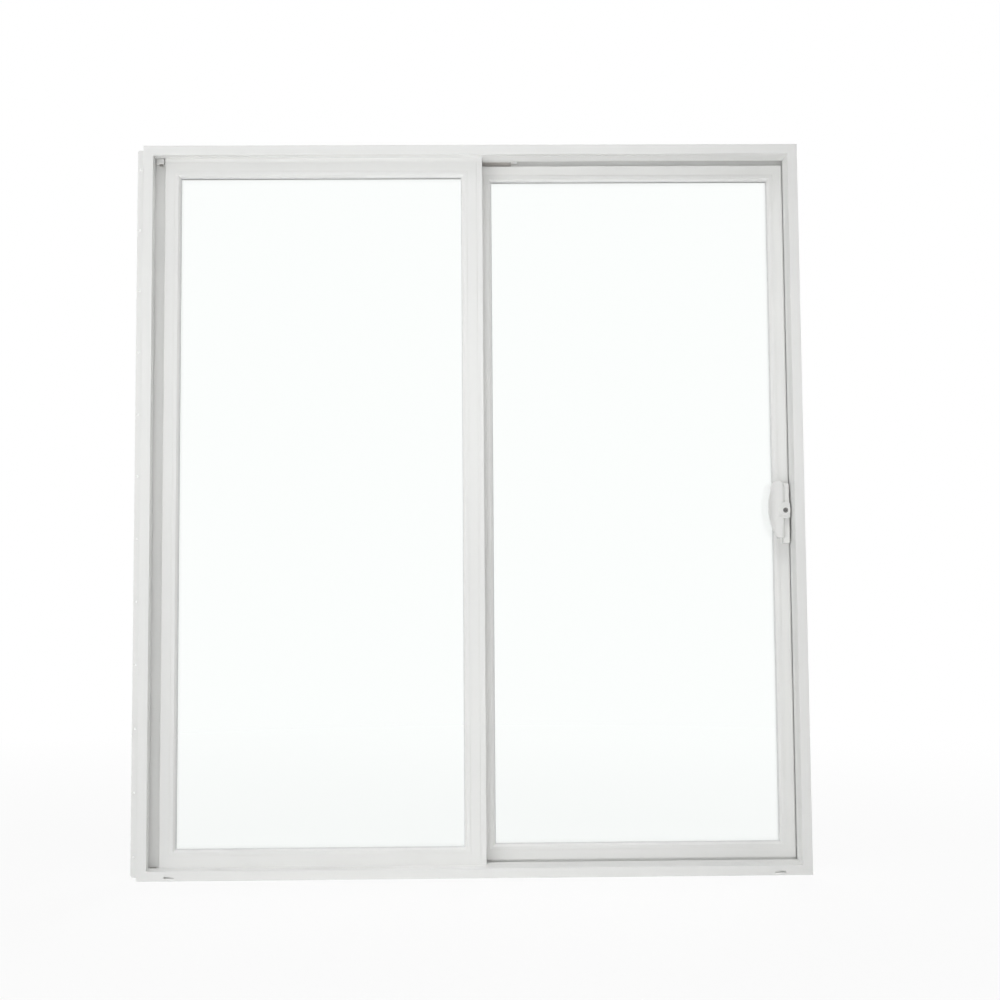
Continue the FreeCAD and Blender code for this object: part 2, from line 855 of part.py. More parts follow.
def outdoorHandle():
    """Moulded handle: plate, column, curled pull with a bevelled rim and stepped round boss."""
    pull = pullSection().extrude(Vector(0, 0, 4 * columnBottom)).common(pullOutline())
    rim = [edge for edge in pull.Edges if isRim(pull, edge)]
    bossFront = slidingFront - bossProud
    boss = rod(keyX, keyHeight, bossRadius, bossFront, slidingFront - plateThickness)
    ring = rod(keyX, keyHeight, ringRadius, bossFront - ringHeight, bossFront)
    room = block(keyX - pullWall, columnRight, 0, slidingFront, keyHeight - bossRadius,
                 keyHeight + bossRadius)
    handle = handlePlate().fuse([pull.makeChamfer(pullChamfer, rim), boss.fuse(ring).common(room)])
    bore = rod(keyX, keyHeight, plugRadius + plugFit, 0, plugFront() + plugLength + plugFit)
    return handle.cut(bore)


def indoorGrip(seat):
    """Upright grip that stands on the indoor plate, open behind its bar for the fingers."""
    middle = keyHeight + (columnTop - columnBottom) / 2
    top = middle + indoorGripHeight / 2
    bottom = middle - indoorGripHeight / 2
    front = seat + indoorGripProud
    left = keyX - indoorGripWidth / 2
    right = keyX + indoorGripWidth / 2
    bow = alongX([
        (seat, bottom),
        (front, bottom, indoorGripRound),
        (front, top, indoorGripRound),
        (seat, top),
    ], left, right)
    rim = [edge for edge in bow.Edges
           if edge.BoundBox.XLength < roundStep and edge.BoundBox.YMax > yAt(seat) + roundStep]
    opening = alongX([
        (seat - cutMargin, bottom + indoorGripBar),
        (front - indoorGripBar, bottom + indoorGripBar, indoorGripRound - indoorGripBar),
        (front - indoorGripBar, top - indoorGripBar, indoorGripRound - indoorGripBar),
        (seat - cutMargin, top - indoorGripBar),
    ], left - cutMargin, right + cutMargin)
    return bow.makeChamfer(indoorGripChamfer, rim).cut(opening)


def indoorHandle():
    """Plate on the indoor face and the grip that stands on it."""
    seat = slidingBack + plateThickness
    plate = alongY([
        (keyX - indoorPlateLeft, keyHeight - columnBottom, columnTopRound),
        (columnRight, keyHeight - columnBottom, columnTopRound),
        (columnRight, keyHeight + columnTop, columnTopRound),
        (keyX - indoorPlateLeft, keyHeight + columnTop, columnTopRound),
    ], slidingBack, seat)
    return plate.fuse(indoorGrip(seat))


def thumbLever():
    """Lever of the latch on the indoor plate, upright as when locked."""
    seat = slidingBack + plateThickness
    hub = rod(keyX, keyHeight, leverHubRadius, seat, seat + leverHubHeight)
    arm = alongY([
        (keyX - leverRoot, keyHeight),
        (keyX + leverRoot, keyHeight),
        (keyX + leverTip, keyHeight + leverLength, leverTip - cutMargin),
        (keyX - leverTip, keyHeight + leverLength, leverTip - cutMargin),
    ], seat + leverHubHeight, seat + leverHubHeight + leverThickness)
    cap = rod(keyX, keyHeight, leverHubRadius, seat + leverHubHeight,
              seat + leverHubHeight + leverThickness)
    return hub.fuse([arm, cap])


def plugFront():
    """Depth of the lock plug's face, sunk in the boss."""
    return slidingFront - bossProud - ringHeight + plugRecess


def keyPlug():
    """Lock plug with its keyway."""
    front = plugFront()
    plug = rod(keyX, keyHeight, plugRadius, front, front + plugLength)
    return plug.cut(block(keyX - keywayWidth / 2, keyX + keywayWidth / 2, front - cutMargin,
                          front + keywayDepth, keyHeight - keywayHeight / 2,
                          keyHeight + keywayHeight / 2))


os.makedirs("parts", exist_ok=True)
save("head", head())
save("sill", sill())
save("left_jamb", jamb(-1))
save("right_jamb", jamb(1))
save("nailing_fin", nailingFin())
save("right_jamb_cover", jambCover())
save("sill_cover", sillCover())
save("head_cover", headCover())
save("head_filler", filler(glassTop + sashFace, glassTop + sashFace + legReach))
save("sill_filler", filler(sillFixedFloor, glassBottom - sashFace))
save("strike_plate", strikePlate())
save("roller_track", rollerTrack())
fixedPanel()
slidingPanel()
rollers()
save("lock_faceplate", faceplate())
save("outdoor_handle", outdoorHandle())
save("key_plug", keyPlug())
save("indoor_handle", indoorHandle())
save("indoor_thumb_lever", thumbLever())
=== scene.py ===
import json
import math
import bmesh
import bpy
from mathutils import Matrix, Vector


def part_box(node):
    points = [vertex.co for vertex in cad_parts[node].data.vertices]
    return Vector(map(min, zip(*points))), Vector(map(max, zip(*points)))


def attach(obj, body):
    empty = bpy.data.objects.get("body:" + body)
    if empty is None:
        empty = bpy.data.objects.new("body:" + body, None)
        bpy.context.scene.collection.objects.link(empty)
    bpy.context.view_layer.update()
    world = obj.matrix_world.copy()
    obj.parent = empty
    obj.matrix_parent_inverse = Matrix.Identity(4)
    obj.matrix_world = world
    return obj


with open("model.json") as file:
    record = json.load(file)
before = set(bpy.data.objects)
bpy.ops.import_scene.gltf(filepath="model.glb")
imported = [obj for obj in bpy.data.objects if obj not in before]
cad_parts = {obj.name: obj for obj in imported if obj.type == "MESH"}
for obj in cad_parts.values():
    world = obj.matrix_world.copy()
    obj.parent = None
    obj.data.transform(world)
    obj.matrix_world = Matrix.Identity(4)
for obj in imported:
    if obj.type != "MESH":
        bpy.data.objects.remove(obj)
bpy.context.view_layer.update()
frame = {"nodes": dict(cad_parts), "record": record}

nodes = frame["nodes"]
scene = bpy.context.scene
scene.view_settings.view_transform = "Standard"
print("frame loaded:", len(nodes), "nodes")


# Camera, as the photograph was taken: lower than the door's middle, looking slightly up
cameraSet = {
    "place": (0.0189, -3.8718, 0.7505),
    "turn": (93.989, 0.423, -0.782),
    "lens": 50.381,
    "sensor": 36.0,
}


def makeCamera(settings):
    data = bpy.data.cameras.new("camera")
    data.lens = settings["lens"]
    data.sensor_width = settings["sensor"]
    camera = bpy.data.objects.new("camera", data)
    camera.location = settings["place"]
    camera.rotation_euler = [math.radians(angle) for angle in settings["turn"]]
    scene.collection.objects.link(camera)
    scene.camera = camera


makeCamera(cameraSet)
print("camera placed")


# Small node helpers
def newMaterial(name):
    material = bpy.data.materials.new(name)
    material.use_nodes = True
    return material, material.node_tree, material.node_tree.nodes["Principled BSDF"]


def addNode(tree, kind, settings=None, **inputs):
    node = tree.nodes.new(kind)
    for key, value in (settings or {}).items():
        setattr(node, key, value)
    for key, value in inputs.items():
        socket = node.inputs[key.replace("_", " ")]
        if isinstance(value, bpy.types.NodeSocket):
            tree.links.new(value, socket)
        else:
            socket.default_value = value
    return node


def stretchedCoordinates(tree, scale):
    # Object coordinates, scaled differently along each axis
    coordinates = addNode(tree, "ShaderNodeTexCoord")
    mapping = addNode(tree, "ShaderNodeMapping", Vector=coordinates.outputs["Object"], Scale=scale)
    return mapping.outputs["Vector"]


def noise(tree, vector, scale, detail=3.0, roughness=0.5):
    node = addNode(tree, "ShaderNodeTexNoise", Vector=vector, Scale=scale, Detail=detail,
                   Roughness=roughness)
    return node.outputs["Fac"]


noiseRange = (0.3, 0.7)    # noise mostly stays between these two


def between(tree, factor, low, high):
    # A number that runs from low to high as the noise goes through its range
    node = addNode(tree, "ShaderNodeMapRange", Value=factor, From_Min=noiseRange[0],
                   From_Max=noiseRange[1], To_Min=low, To_Max=high)
    return node.outputs["Result"]


def maths(tree, operation, *values):
    # One sum on plain numbers or sockets
    node = tree.nodes.new("ShaderNodeMath")
    node.operation = operation
    for socket, value in zip(node.inputs, values):
        if isinstance(value, bpy.types.NodeSocket):
            tree.links.new(value, socket)
        else:
            socket.default_value = value
    return node.outputs["Value"]


def colourMix(tree, factor, first, second):
    node = tree.nodes.new("ShaderNodeMix")
    node.data_type = "RGBA"
    sockets = {socket.identifier: socket for socket in node.inputs}
    for identifier, value in (("Factor_Float", factor), ("A_Color", first), ("B_Color", second)):
        if isinstance(value, bpy.types.NodeSocket):
            tree.links.new(value, sockets[identifier])
        else:
            sockets[identifier].default_value = value
    return next(socket for socket in node.outputs if socket.identifier == "Result_Color")


def addBump(tree, shader, height, distance, strength=1.0):
    bump = addNode(tree, "ShaderNodeBump", Strength=strength, Distance=distance, Height=height)
    tree.links.new(bump.outputs["Normal"], shader.inputs["Normal"])


# Extruded white vinyl: satin, faintly cloudy, with die lines that run along each member
vinylSet = {
    "colour": (0.880, 0.880, 0.862, 1),
    "shade": (0.850, 0.852, 0.838, 1),
    "cloudScale": 3.0,
    "lineScale": 420.0,
    "lineShare": 0.35,
    "alongScale": 0.004,
    "grainScale": 2600.0,
    "roughness": (0.34, 0.46),
    "lineDepth": 0.000012,
    "specular": 0.45,
}


def makeVinyl(name, along, settings):
    material, tree, shader = newMaterial(name)
    stretch = [settings["alongScale"] if axis == along else 1.0 for axis in "XYZ"]
    plain = stretchedCoordinates(tree, (1, 1, 1))
    drawn = stretchedCoordinates(tree, stretch)
    clouds = noise(tree, plain, settings["cloudScale"])
    lines = noise(tree, drawn, settings["lineScale"])
    grain = noise(tree, plain, settings["grainScale"], detail=1.0)
    both = maths(tree, "MULTIPLY_ADD", lines, settings["lineShare"], clouds)
    factor = between(tree, both, 0.0, 1.0)
    colour = colourMix(tree, factor, settings["colour"], settings["shade"])
    tree.links.new(colour, shader.inputs["Base Color"])
    tree.links.new(between(tree, lines, *settings["roughness"]), shader.inputs["Roughness"])
    shader.inputs["Specular IOR Level"].default_value = settings["specular"]
    addBump(tree, shader, maths(tree, "ADD", lines, grain), settings["lineDepth"])
    return material


# Clear float glass with a faint green body
glassSet = {
    "colour": (0.985, 0.996, 0.990, 1),
    "ior": 1.5,
    "rippleScale": 2.5,
    "rippleStretch": (1, 1, 0.3),
    "rippleDepth": 0.00002,
}


def makeGlass(settings):
    material, tree, shader = newMaterial("glass")
    shader.inputs["Base Color"].default_value = settings["colour"]
    shader.inputs["Transmission Weight"].default_value = 1.0
    shader.inputs["Roughness"].default_value = 0.0
    shader.inputs["IOR"].default_value = settings["ior"]
    vector = stretchedCoordinates(tree, settings["rippleStretch"])
    ripple = noise(tree, vector, settings["rippleScale"], detail=1.0)
    addBump(tree, shader, ripple, settings["rippleDepth"])
    return material


def makeMottled(name, settings):
    # A plain finish with fine mottling of colour, roughness and height
    material, tree, shader = newMaterial(name)
    vector = stretchedCoordinates(tree, settings.get("stretch", (1, 1, 1)))
    mottle = noise(tree, vector, settings["scale"], detail=4.0)
    factor = between(tree, mottle, 0.0, 1.0)
    colour = colourMix(tree, factor, settings["colour"], settings["shade"])
    tree.links.new(colour, shader.inputs["Base Color"])
    tree.links.new(between(tree, mottle, *settings["roughness"]), shader.inputs["Roughness"])
    shader.inputs["Metallic"].default_value = settings.get("metallic", 0.0)
    shader.inputs["Specular IOR Level"].default_value = settings.get("specular", 0.5)
    addBump(tree, shader, mottle, settings["depth"])
    return material


finishes = {
    "gasket": {"colour": (0.78, 0.785, 0.78, 1), "shade": (0.72, 0.725, 0.72, 1), "scale": 300.0,
               "roughness": (0.55, 0.75), "depth": 0.00005},
    "spacer": {"colour": (0.60, 0.61, 0.62, 1), "shade": (0.48, 0.49, 0.50, 1), "scale": 260.0,
               "roughness": (0.32, 0.5), "depth": 0.00004, "metallic": 0.9},
    "track": {"colour": (0.72, 0.72, 0.73, 1), "shade": (0.58, 0.58, 0.60, 1), "scale": 700.0,
              "roughness": (0.22, 0.42), "depth": 0.00003, "metallic": 1.0, "stretch": (0.01, 1, 1)},
    "steel": {"colour": (0.60, 0.60, 0.59, 1), "shade": (0.46, 0.46, 0.47, 1), "scale": 220.0,
              "roughness": (0.28, 0.48), "depth": 0.00004, "metallic": 1.0},
    "wheel": {"colour": (0.55, 0.54, 0.52, 1), "shade": (0.42, 0.41, 0.40, 1), "scale": 500.0,
              "roughness": (0.25, 0.45), "depth": 0.00003, "metallic": 1.0},
    "handle": {"colour": (0.825, 0.825, 0.81, 1), "shade": (0.812, 0.813, 0.80, 1), "scale": 9.0,
               "roughness": (0.25, 0.31), "depth": 0.00002},
    "pile": {"colour": (0.60, 0.575, 0.55, 1), "shade": (0.48, 0.46, 0.44, 1), "scale": 900.0,
             "roughness": (0.8, 0.95), "depth": 0.0001, "specular": 0.1},
    "finSeal": {"colour": (0.74, 0.74, 0.73, 1), "shade": (0.64, 0.64, 0.63, 1), "scale": 900.0,
                "roughness": (0.8, 0.95), "depth": 0.0001, "specular": 0.1},
    # Lock metal: its base colour is darkened to paint in the shade inside the recessed key plug
    "lockMetalPaintedShade": {"colour": (0.27, 0.265, 0.26, 1), "shade": (0.19, 0.185, 0.18, 1), "scale": 400.0,
                  "roughness": (0.18, 0.34), "depth": 0.00003, "metallic": 1.0},
}

vinylAcross = makeVinyl("vinylAcross", "X", vinylSet)
vinylUpright = makeVinyl("vinylUpright", "Z", vinylSet)
glass = makeGlass(glassSet)
finish = {name: makeMottled(name, settings) for name, settings in finishes.items()}
print("materials made")


# Each CAD node takes its material from its slot, and vinyl from the way its member runs
slotOf = {part["node"]: part["material_slot"] for part in frame["record"]["subparts"]}


def materialFor(node):
    slot = slotOf[node]
    if slot == "glass":
        return glass
    # The lock metal's dark colour is painted shade for the recessed key plug
    if slot == "lock_metal":
        return finish["lockMetalPaintedShade"]
    if slot != "vinyl":
        return finish[slot]
    low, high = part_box(node)
    return vinylAcross if high.x - low.x > high.z - low.z else vinylUpright


for node, piece in nodes.items():
    piece.data.materials.clear()
    piece.data.materials.append(materialFor(node))
    if slotOf[node] == "glass":
        piece.visible_shadow = False
print("nodes dressed")


# Small building helpers for the pieces that dress the frame
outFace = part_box("left_jamb")[0].y
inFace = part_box("left_jamb")[1].y


def showPiece(name, mesh, body, material=None):
    # A mesh grown by Geometry Nodes already has its material
    piece = bpy.data.objects.new(name, mesh)
    scene.collection.objects.link(piece)
    if material:
        mesh.materials.clear()
        mesh.materials.append(material)
    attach(piece, body)
    return piece


def meshFrom(name, shape, smooth=False):
    # A finished mesh with its doubles merged and its faces turned outwards
    bmesh.ops.remove_doubles(shape, verts=shape.verts, dist=1e-6)
    bmesh.ops.recalc_face_normals(shape, faces=shape.faces)
    for face in shape.faces:
        face.smooth = smooth
    mesh = bpy.data.meshes.new(name)
    shape.to_mesh(mesh)
    shape.free()
    return mesh


blockEdge = {"segments": 2, "profile": 0.6}


def addBlock(shape, low, high, bevel):
    # A block with all its edges bevelled
    made = bmesh.ops.create_cube(shape, size=1.0)
    middle = (Vector(low) + Vector(high)) / 2
    reach = Vector(high) - Vector(low)
    for vert in made["verts"]:
        vert.co = Vector(place * length for place, length in zip(vert.co, reach)) + middle
    edges = list({edge for vert in made["verts"] for edge in vert.link_edges})
    bmesh.ops.bevel(shape, geom=edges, offset=bevel, affect="EDGES", **blockEdge)


def addStrip(shape, start, end, normal, settings):
    # A low ridge between two points of a face, sunk a little into it
    start, end, normal = Vector(start), Vector(end), Vector(normal)
    across = (end - start).normalized().cross(normal)
    width, height = settings["width"], settings["height"]
    sunk, crown = settings["sunk"], settings["crown"]
    profile = ((-0.5, -sunk), (-crown, height), (crown, height), (0.5, -sunk))
    rows = []
    for point in (start, end):
        rows.append([shape.verts.new(point + across * side * width + normal * out)
                     for side, out in profile])
    first, last = rows
    for here in range(4):
        after = (here + 1) % 4
        shape.faces.new((first[here], first[after], last[after], last[here]))
    shape.faces.new(first)
    shape.faces.new(last)


def addTurned(shape, profile, centre, axis, sides):
    # A closed turned form: profile holds radius and height, from the middle of its base to its top
    turn = Vector((0, 0, 1)).rotation_difference(Vector(axis)).to_matrix()
    rings = []
    for radius, height in profile:
        ring = []
        for step in range(sides if radius else 1):
            angle = math.tau * step / sides
            place = Vector((radius * math.cos(angle), radius * math.sin(angle), height))
            ring.append(shape.verts.new(Vector(centre) + turn @ place))
        rings.append(ring)
    for lower, upper in zip(rings, rings[1:]):
        for step in range(sides):
            corners = [lower[step % len(lower)], lower[(step + 1) % len(lower)],
                       upper[(step + 1) % len(upper)], upper[step % len(upper)]]
            shape.faces.new(list(dict.fromkeys(corners)))


# Cleaned welds on the mitres of the frame and of both panels
weldSet = {
    "width": 0.0018,
    "height": 0.00016,
    "sunk": 0.0002,
    "crown": 0.22,    # half of the ridge's flat top, as a share of its width
    "frameMitre": 0.0255,
    "frameStart": 0.0015,
    "sashMitre": 0.026,
    "sashStart": 0.0005,
}


def addMitres(shape, low, high, face, normal, start, reach, settings):
    # One ridge at each corner of an upright rectangle, running inwards at 45 degrees
    for x, sideways in ((low.x, 1), (high.x, -1)):
        for z, upwards in ((low.z, 1), (high.z, -1)):
            inner = Vector((x + sideways * reach, face, z + upwards * reach))
            outer = Vector((x + sideways * start, face, z + upwards * start))
            addStrip(shape, outer, inner, normal, settings)


def makeWelds(settings):
    # The frame's outdoor face is the outside of the whole part, so its welds are left flush
    low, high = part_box("left_jamb")[0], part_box("right_jamb")[1]
    shape = bmesh.new()
    addMitres(shape, low, high, inFace, (0, 1, 0), settings["frameStart"], settings["frameMitre"], settings)
    for body, parts, panel in (("frame", shape, "fixed"), ("sliding_panel", bmesh.new(), "sliding")):
        left = "jamb_stile" if panel == "fixed" else "meeting_stile"
        right = "meeting_stile" if panel == "fixed" else "lock_stile"
        bead = [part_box(panel + "_" + side + "_bead") for side in ("left", "right", "bottom", "top")]
        glassLow = Vector((bead[0][0].x, 0, bead[2][0].z))
        glassHigh = Vector((bead[1][1].x, 0, bead[3][1].z))
        reach = settings["sashMitre"]
        outerLow = glassLow - Vector((reach, 0, reach))
        outerHigh = glassHigh + Vector((reach, 0, reach))
        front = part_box(panel + "_" + left)[0].y
        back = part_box(panel + "_" + right)[1].y
        for face, normal in ((front, (0, -1, 0)), (back, (0, 1, 0))):
            addMitres(parts, outerLow, outerHigh, face, normal, settings["sashStart"], reach, settings)
        showPiece(panel + "Welds", meshFrom(panel + "Welds", parts), body, vinylUpright)


makeWelds(weldSet)
print("welds cleaned")


# Geometry Nodes helpers: a tree with named inputs, and its result as a plain mesh
def newTree(name, inputs):
    tree = bpy.data.node_groups.new(name, "GeometryNodeTree")
    tree.interface.new_socket("Geometry", in_out="INPUT", socket_type="NodeSocketGeometry")
    for label, kind in inputs.items():
        tree.interface.new_socket(label, in_out="INPUT", socket_type="NodeSocket" + kind)
    tree.interface.new_socket("Geometry", in_out="OUTPUT", socket_type="NodeSocketGeometry")
    entry = tree.nodes.new("NodeGroupInput")
    leave = tree.nodes.new("NodeGroupOutput")
    return tree, entry.outputs, leave.inputs["Geometry"]


def finishTree(tree, instances, material, leave):
    solid = addNode(tree, "GeometryNodeRealizeInstances", Geometry=instances)
    painted = addNode(tree, "GeometryNodeSetMaterial", Geometry=solid.outputs[0], Material=material)
    tree.links.new(painted.outputs[0], leave)


def grownMesh(name, seeds, tree, values):
    holder = bpy.data.objects.new(name, seeds)
    scene.collection.objects.link(holder)
    modifier = holder.modifiers.new(name, "NODES")
    modifier.node_group = tree
    for item in tree.interface.items_tree:
        if item.in_out == "INPUT" and item.name in values:
            modifier[item.identifier] = values[item.name]
    grown = bpy.data.meshes.new_from_object(holder.evaluated_get(bpy.context.evaluated_depsgraph_get()))
    grown.name = name
    holder.modifiers.clear()
    bpy.data.objects.remove(holder)
    return grown


def seedMesh(name, points):
    # Bare points, each with the way that it faces
    mesh = bpy.data.meshes.new(name + "Seeds")
    mesh.from_pydata([place for place, facing in points], [], [])
    facings = mesh.attributes.new("facing", "FLOAT_VECTOR", "POINT")
    for here, (place, facing) in enumerate(points):
        facings.data[here].vector = facing
    return mesh


# Cross-headed screws, one mesh for each body
screwSet = {
    "Head Radius": 0.0038,
    "Head Height": 0.0012,
    "Cross Width": 0.0009,
    "Cross Depth": 0.0008,
    "Seed": 4,
}
screwShape = {
    "sides": 20,
    "shoulder": 0.72,     # the head's upper radius, as a share of its lower one
    "crossReach": 1.1,    # the cross's length, as a share of the head's lower radius
    "crossSink": 2.0,     # the cutting bar's depth in cross depths, half of it above the head
}
screwPlaces = {
    "strikeSpread": 0.048,
    "faceplateSpread": 0.073,
    "platePlaces": (-0.062, 0.050),
    "jambHeights": (0.16, 0.58, 1.36, 1.82),
}


def screwTree(shape):
    tree, entry, leave = newTree("crossScrews", {
        "Head Radius": "Float", "Head Height": "Float", "Cross Width": "Float", "Cross Depth": "Float",
        "Seed": "Int", "Material": "Material"})
    shoulder = maths(tree, "MULTIPLY", entry["Head Radius"], shape["shoulder"])
    head = addNode(tree, "GeometryNodeMeshCone", Vertices=shape["sides"], Radius_Top=shoulder,
                   Radius_Bottom=entry["Head Radius"], Depth=entry["Head Height"])
    long = maths(tree, "MULTIPLY", entry["Head Radius"], shape["crossReach"])
    deep = maths(tree, "MULTIPLY", entry["Cross Depth"], shape["crossSink"])
    cuts = []
    for first, second in (("X", "Y"), ("Y", "X")):
        size = addNode(tree, "ShaderNodeCombineXYZ", **{
            first: long, second: entry["Cross Width"], "Z": deep})
        bar = addNode(tree, "GeometryNodeMeshCube", Size=size.outputs[0])
        lift = addNode(tree, "ShaderNodeCombineXYZ", Z=entry["Head Height"])
        cuts.append(addNode(tree, "GeometryNodeTransform", Geometry=bar.outputs[0],
                            Translation=lift.outputs[0]))
    crossed = addNode(tree, "GeometryNodeMeshBoolean", {"operation": "DIFFERENCE"}, Mesh_1=head.outputs[0])
    for cut in cuts:
        tree.links.new(cut.outputs[0], crossed.inputs["Mesh 2"])
    facing = addNode(tree, "GeometryNodeInputNamedAttribute", {"data_type": "FLOAT_VECTOR"}, Name="facing")
    upright = addNode(tree, "FunctionNodeAlignRotationToVector", {"axis": "Z"}, Vector=facing.outputs[0])
    placed = addNode(tree, "GeometryNodeInstanceOnPoints", Points=entry["Geometry"],
                     Instance=crossed.outputs[0], Rotation=upright.outputs[0])
    spin = addNode(tree, "FunctionNodeRandomValue", {"data_type": "FLOAT"})
    spinSockets = {socket.identifier: socket for socket in spin.inputs}
    spinSockets["Max_001"].default_value = math.pi
    tree.links.new(entry["Seed"], spinSockets["Seed"])
    spinOut = next(socket for socket in spin.outputs if socket.identifier == "Value_001")
    about = addNode(tree, "ShaderNodeCombineXYZ", Z=spinOut)
    turned = addNode(tree, "GeometryNodeRotateInstances", Instances=placed.outputs[0],
                     Rotation=about.outputs[0])
    finishTree(tree, turned.outputs[0], entry["Material"], leave)
    return tree


def screwSites(places):
    # Points and facings for each body: strike, faceplate, indoor plate and the jambs' pocket floors
    strikeLow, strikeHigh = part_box("strike_plate")
    faceLow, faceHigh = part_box("lock_faceplate")
    plugLow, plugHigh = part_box("key_plug")
    keyHeight = (plugLow.z + plugHigh.z) / 2
    keyAcross = (plugLow.x + plugHigh.x) / 2
    across = (faceLow.y + faceHigh.y) / 2
    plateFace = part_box("indoor_thumb_lever")[0].y
    frameSites = [((strikeLow.x, across, keyHeight + side * places["strikeSpread"]), (-1, 0, 0))
                  for side in (-1, 1)]
    frameSites += [((side * strikeHigh.x, across, height), (-side, 0, 0))
                   for side in (-1, 1) for height in places["jambHeights"]]
    panelSites = [((faceHigh.x, across, keyHeight + side * places["faceplateSpread"]), (1, 0, 0))
                  for side in (-1, 1)]
    panelSites += [((keyAcross, plateFace, keyHeight + rise), (0, 1, 0)) for rise in places["platePlaces"]]
    return {"frame": frameSites, "sliding_panel": panelSites}


crossScrews = screwTree(screwShape)
for body, sites in screwSites(screwPlaces).items():
    name = "frameScrews" if body == "frame" else "panelScrews"
    values = dict(screwSet, Material=finish["steel"])
    showPiece(name, grownMesh(name, seedMesh(name, sites), crossScrews, values), body)
print("screws driven")


# Dust plugs: moulded carriers with short pile, at the ends of the left recess and at the head,
# and the fin seal behind the right jamb's cover
pileSet = {
    "Bristle Length": 0.0048,
    "Bristle Radius": 0.00045,
    "Lean": 0.14,
    "Seed": 11,
}
pileShape = {
    "sides": 5,
    "tip": 0.5,    # the bristle's upper radius, as a share of its lower one
}
plugSet = {
    "pitch": 0.0011,
    "bevel": 0.0006,
    "recessInset": 0.0025,
    "carrierWidth": 0.021,
    "carrierHeight": 0.015,
    "setback": 0.0015,
    "padInset": 0.008,
    "padWidth": 0.009,
    "footHeight": 0.010,
    "headInset": 0.001,
    "headLength": 0.098,
    "headPile": 0.080,
    "headPileInset": 0.001,
    "panelGap": 0.003,
    "headHeight": 0.0018,
    "headReach": 0.0084,
}
sealSet = {
    "Bristle Length": 0.0071,
    "Bristle Radius": 0.0006,
    "Lean": 0.06,
    "Seed": 23,
}
sealPlaces = {
    "pitch": 0.0015,
    "inset": -0.0007,
    "width": 0.0045,
    "backing": 0.0007,
    "film": 0.0003,
    "reach": 0.0077,
    "endGap": 0.006,
    "bevel": 0.0001,
    "filmFoot": 0.5,    # where the film starts in the backing, as a share of its thickness
    "pileFoot": 0.8,    # where the pile starts
}


def pileTree(shape):
    tree, entry, leave = newTree("densePile", {
        "Bristle Length": "Float", "Bristle Radius": "Float", "Lean": "Float", "Seed": "Int",
        "Material": "Material"})
    thin = maths(tree, "MULTIPLY", entry["Bristle Radius"], shape["tip"])
    bristle = addNode(tree, "GeometryNodeMeshCone", Vertices=shape["sides"], Radius_Top=thin,
                      Radius_Bottom=entry["Bristle Radius"], Depth=entry["Bristle Length"])
    sway = addNode(tree, "FunctionNodeRandomValue", {"data_type": "FLOAT_VECTOR"})
    swaySockets = {socket.identifier: socket for socket in sway.inputs}
    for limit, sign in (("Min", -1), ("Max", 1)):
        scaled = addNode(tree, "ShaderNodeVectorMath", {"operation": "SCALE"})
        scaled.inputs[0].default_value = (sign, sign, sign)
        tree.links.new(entry["Lean"], scaled.inputs["Scale"])
        tree.links.new(scaled.outputs[0], swaySockets[limit])
    tree.links.new(entry["Seed"], swaySockets["Seed"])
    facing = addNode(tree, "GeometryNodeInputNamedAttribute", {"data_type": "FLOAT_VECTOR"}, Name="facing")
    leant = addNode(tree, "ShaderNodeVectorMath", {"operation": "ADD"})
    tree.links.new(facing.outputs[0], leant.inputs[0])
    tree.links.new(sway.outputs[0], leant.inputs[1])
    upright = addNode(tree, "FunctionNodeAlignRotationToVector", {"axis": "Z"}, Vector=leant.outputs[0])
    placed = addNode(tree, "GeometryNodeInstanceOnPoints", Points=entry["Geometry"],
                     Instance=bristle.outputs[0], Rotation=upright.outputs[0])
    finishTree(tree, placed.outputs[0], entry["Material"], leave)
    return tree


def padPoints(low, high, facing, pitch):
    # A square grid of pile over a flat pad whose third side has no depth
    counts = [max(1, int((high[axis] - low[axis]) / pitch)) for axis in range(3)]
    steps = [(high[axis] - low[axis]) / counts[axis] for axis in range(3)]
    return [((low[0] + (stepX + 0.5) * steps[0], low[1] + (stepY + 0.5) * steps[1],
              low[2] + (stepZ + 0.5) * steps[2]), facing)
            for stepX in range(counts[0]) for stepY in range(counts[1]) for stepZ in range(counts[2])]


